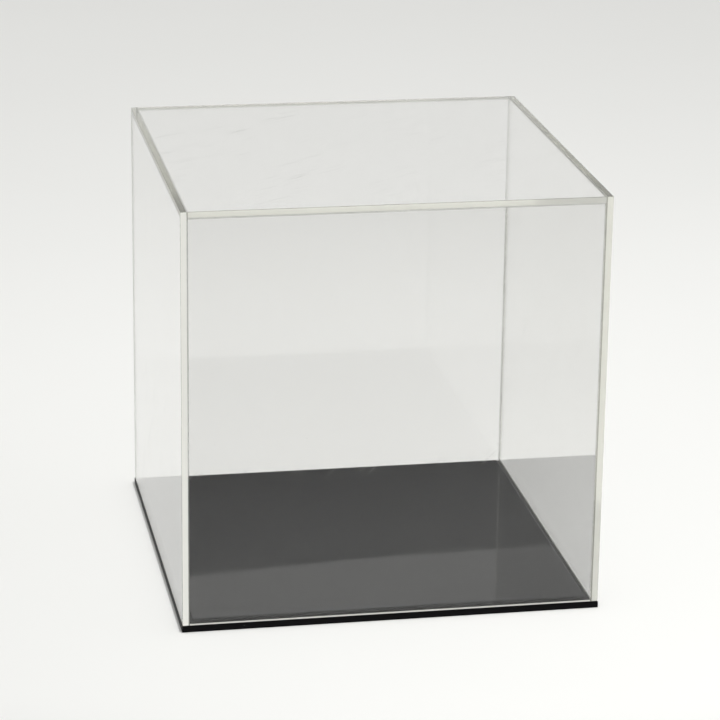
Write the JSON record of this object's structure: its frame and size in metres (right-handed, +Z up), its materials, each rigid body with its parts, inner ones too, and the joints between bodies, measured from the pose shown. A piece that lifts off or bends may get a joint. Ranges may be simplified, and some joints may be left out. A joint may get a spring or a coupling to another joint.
{
  "type": "acrylic collection case",
  "caption": "Clear lift-off cover of bonded acrylic panels over a gloss black stepped base, for showing and keeping dust off a small collection piece.",
  "frame": {"origin": "middle of the footprint, on the surface that the base plate stands on", "axes": "+Z up, the way the cover lifts; +X to the right and -Y to the front as the picture shows the case"},
  "size_m": [0.2, 0.2, 0.2033],
  "materials": {
    "black_acrylic": "cast black acrylic sheet, polished mirror gloss",
    "clear_acrylic": "clear cast acrylic sheet, polished faces and flame-polished edges"
  },
  "bodies": {
    "base": {"base_plate": "black_acrylic", "locating_plate": "black_acrylic"},
    "cover": {"left_panel": "clear_acrylic", "right_panel": "clear_acrylic", "front_panel": "clear_acrylic", "back_panel": "clear_acrylic", "top_panel": "clear_acrylic"}
  },
  "joints": [
    {"name": "cover_lift", "type": "slide", "parent": "base", "child": "cover", "axis": [0, 0, 1], "range_m": [0, 0.22]}
  ]
}
